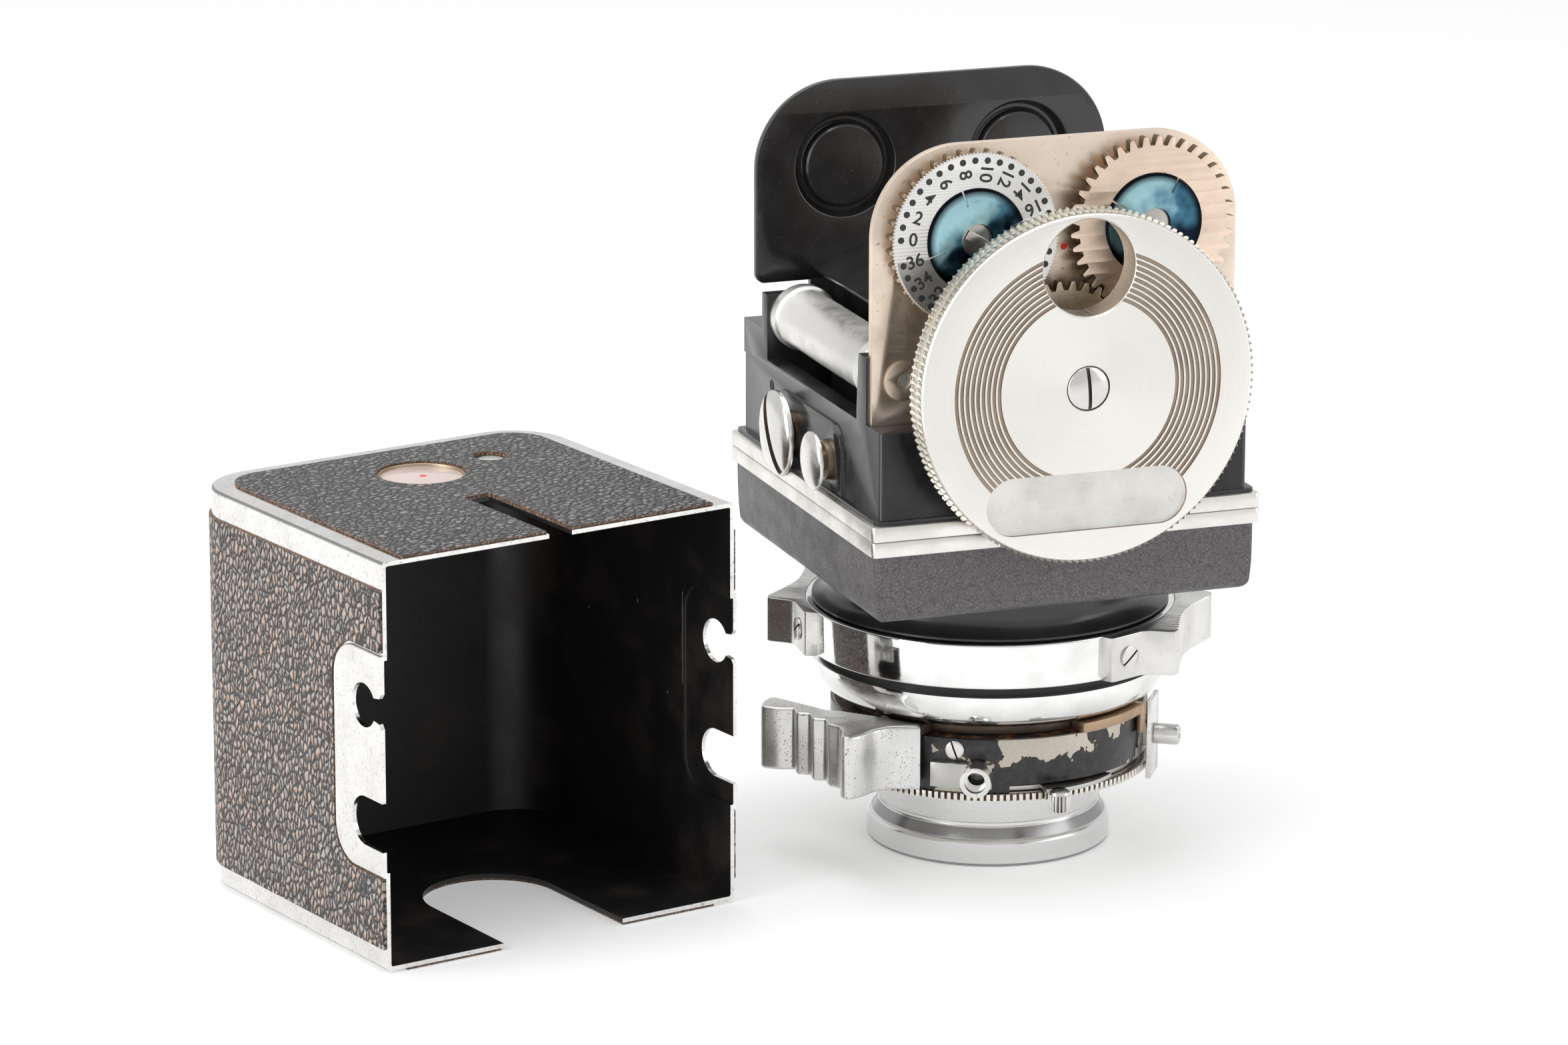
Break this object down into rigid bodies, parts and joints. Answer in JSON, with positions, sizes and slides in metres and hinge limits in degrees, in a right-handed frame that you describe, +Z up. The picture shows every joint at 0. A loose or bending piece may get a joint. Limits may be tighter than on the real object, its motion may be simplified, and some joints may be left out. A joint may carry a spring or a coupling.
{
  "type": "system camera",
  "caption": "Small film camera standing on its lens, with winding wheel, gears and film rollers bare, and its leather-covered film shell taken off beside it.",
  "frame": {"origin": "on the lens axis at the rim of the front ring, where the camera stands", "axes": "+Z up along the lens axis towards the film, -Y towards the side with the winding wheel, +X to the right seen from that side; the film shell stands towards -X"},
  "size_m": [0.1526, 0.072, 0.1144],
  "materials": {
    "shell_metal": "satin nickel-plated sheet, black paint inside",
    "shell_leather": "worn dark brown pebbled leather",
    "index_glass": "milky pink window",
    "gear_glass": "milky window",
    "black_housing": "worn black paint, satin",
    "frame_chrome": "satin chrome plate",
    "grey_crackle": "fine crackle paint",
    "dish_enamel": "glossy black enamel",
    "drum_black": "matt black",
    "polished_chrome": "polished chrome plate",
    "grip_nickel": "satin, brushed along its ribs",
    "screw_steel": "turned steel",
    "cast_grey": "dull cast light alloy",
    "shutter_dark": "dark with rust at the rim",
    "band_enamel": "black enamel, chipped to the metal",
    "serrated_chrome": "worn chrome with dirt in the teeth",
    "lever_chrome": "worn chrome",
    "fitting_chrome": "plated, speckled",
    "plunger_steel": "dark steel",
    "barrel_chrome": "satin turned metal",
    "ring_chrome": "polished, fine rings",
    "lens_glass": "clear coated glass",
    "blade_steel": "blued steel leaf",
    "wheel_metal": "satin turned light alloy",
    "gear_brass": "worn brass",
    "gear_nickel": "nickel-plated brass, tarnished",
    "dial_metal": "satin dial with dark figures",
    "blued_steel": "heat-blued spring steel",
    "fork_steel": "turned steel",
    "plate_nickel": "nickel plate, warm tarnish",
    "plate_black": "glossy black enamel",
    "roller_steel": "turned and plated",
    "roof_black": "satin black enamel",
    "disc_steel": "domed and polished",
    "stud_steel": "polished on a brass neck",
    "bush_steel": "turned steel"
  },
  "bodies": {
    "camera_body": {"film_housing": "black_housing", "frame_upper": "frame_chrome", "frame_lower": "frame_chrome", "lens_box": "grey_crackle", "neck_dish": "dish_enamel", "mount_drum": "drum_black", "bowl_ring": "polished_chrome", "shutter_housing": "shutter_dark", "cover_band": "band_enamel", "cover_screws": "screw_steel", "release_socket": "fitting_chrome", "sync_plate": "fitting_chrome", "sync_post": "fitting_chrome", "lens_barrel": "barrel_chrome", "front_ring": "ring_chrome", "front_glass": "lens_glass", "rear_glass": "lens_glass", "shutter_blade_1": "blade_steel", "shutter_blade_2": "blade_steel", "shutter_blade_3": "blade_steel", "shutter_blade_4": "blade_steel", "shutter_blade_5": "blade_steel", "gear_plate": "plate_nickel", "back_plate": "plate_black", "plate_bushes": "plate_nickel", "film_roof": "roof_black", "pressure_plate": "roof_black", "tripod_bush": "bush_steel"},
    "winding_wheel": {"advance_wheel": "wheel_metal", "wheel_screw": "screw_steel", "wheel_shaft": "fork_steel", "drive_gear": "gear_brass"},
    "counter": {"counter_gear": "gear_brass", "counter_dial": "dial_metal", "counter_dome": "blued_steel", "supply_fork": "fork_steel"},
    "takeup": {"takeup_gear": "gear_nickel", "takeup_dome": "blued_steel", "takeup_fork": "fork_steel"},
    "left_roller": {"roller_left": "roller_steel"},
    "right_roller": {"roller_right": "roller_steel"},
    "lens_lock": {"lock_ring": "polished_chrome", "lock_grip_left": "grip_nickel", "lock_grip_right": "grip_nickel", "grip_screws": "screw_steel"},
    "handle": {"grip_handle": "cast_grey"},
    "speed": {"speed_ring": "serrated_chrome"},
    "aperture": {"aperture_lever": "lever_chrome"},
    "trip_lever": {"release_lever": "lever_chrome"},
    "plunger": {"release_plunger": "plunger_steel"},
    "left_clamp": {"clamp_disc_left": "disc_steel"},
    "right_clamp": {"clamp_disc_right": "disc_steel"},
    "left_stud": {"lock_stud_left": "stud_steel"},
    "right_stud": {"lock_stud_right": "stud_steel"},
    "film_shell": {"shell_box": "shell_metal", "shell_leather_wrap": "shell_leather", "shell_leather_front": "shell_leather", "shell_leather_back": "shell_leather", "index_window": "index_glass", "gear_window": "gear_glass"}
  },
  "joints": [
    {"name": "wheel_turn", "type": "hinge", "parent": "camera_body", "child": "winding_wheel", "pos_m": [0, -0.03, 0.0794], "axis": [0, -1, 0], "continuous": true},
    {"name": "counter_turn", "type": "hinge", "parent": "camera_body", "child": "counter", "pos_m": [-0.0143, -0.027, 0.10092], "axis": [0, -1, 0], "continuous": true},
    {"name": "takeup_turn", "type": "hinge", "parent": "camera_body", "child": "takeup", "pos_m": [0.0143, -0.027, 0.10092], "axis": [0, -1, 0], "continuous": true},
    {"name": "roller_left_spin", "type": "hinge", "parent": "camera_body", "child": "left_roller", "pos_m": [-0.0239, 0, 0.0794], "axis": [0, -1, 0], "continuous": true},
    {"name": "roller_right_spin", "type": "hinge", "parent": "camera_body", "child": "right_roller", "pos_m": [0.0239, 0, 0.0794], "axis": [0, -1, 0], "continuous": true},
    {"name": "lens_lock_turn", "type": "hinge", "parent": "camera_body", "child": "lens_lock", "pos_m": [0, 0, 0.0344], "axis": [0, 0, 1], "range_deg": [-35, 0]},
    {"name": "handle_turn", "type": "hinge", "parent": "camera_body", "child": "handle", "pos_m": [0, 0, 0.019], "axis": [0, 0, 1], "range_deg": [-60, 0]},
    {"name": "speed_turn", "type": "hinge", "parent": "camera_body", "child": "speed", "pos_m": [0, 0, 0.0129], "axis": [0, 0, 1], "range_deg": [-75, 75]},
    {"name": "aperture_swing", "type": "hinge", "parent": "camera_body", "child": "aperture", "pos_m": [0, 0, 0.014], "axis": [0, 0, 1], "range_deg": [-11, 19]},
    {"name": "trip_swing", "type": "hinge", "parent": "camera_body", "child": "trip_lever", "pos_m": [0, 0, 0.0228], "axis": [0, 0, 1], "range_deg": [-3, 0], "stiffness_Nm_per_rad": 0.05},
    {"name": "plunger_push", "type": "slide", "parent": "camera_body", "child": "plunger", "axis": [0.4305, 0.9026, 0], "range_m": [0, 0.0008], "stiffness_N_per_m": 200},
    {"name": "clamp_left_turn", "type": "hinge", "parent": "camera_body", "child": "left_clamp", "pos_m": [-0.031, 0.00895, 0.06395], "axis": [-1, 0, 0], "range_deg": [0, 180]},
    {"name": "clamp_right_turn", "type": "hinge", "parent": "camera_body", "child": "right_clamp", "pos_m": [0.031, 0.00895, 0.06395], "axis": [1, 0, 0], "range_deg": [0, 180]},
    {"name": "stud_left_push", "type": "slide", "parent": "camera_body", "child": "left_stud", "axis": [1, 0, 0], "range_m": [0, 0.0011], "stiffness_N_per_m": 800},
    {"name": "stud_right_push", "type": "slide", "parent": "camera_body", "child": "right_stud", "axis": [-1, 0, 0], "range_m": [0, 0.0011], "stiffness_N_per_m": 800},
    {"name": "shell_lift", "type": "slide", "parent": "camera_body", "child": "film_shell", "axis": [0, 0, 1], "range_m": [0, 0.12]}
  ],
  "couplings": [
    {"joint": "counter_turn", "follows": "wheel_turn", "ratio": -1.0541},
    {"joint": "takeup_turn", "follows": "wheel_turn", "ratio": -1.0541}
  ]
}
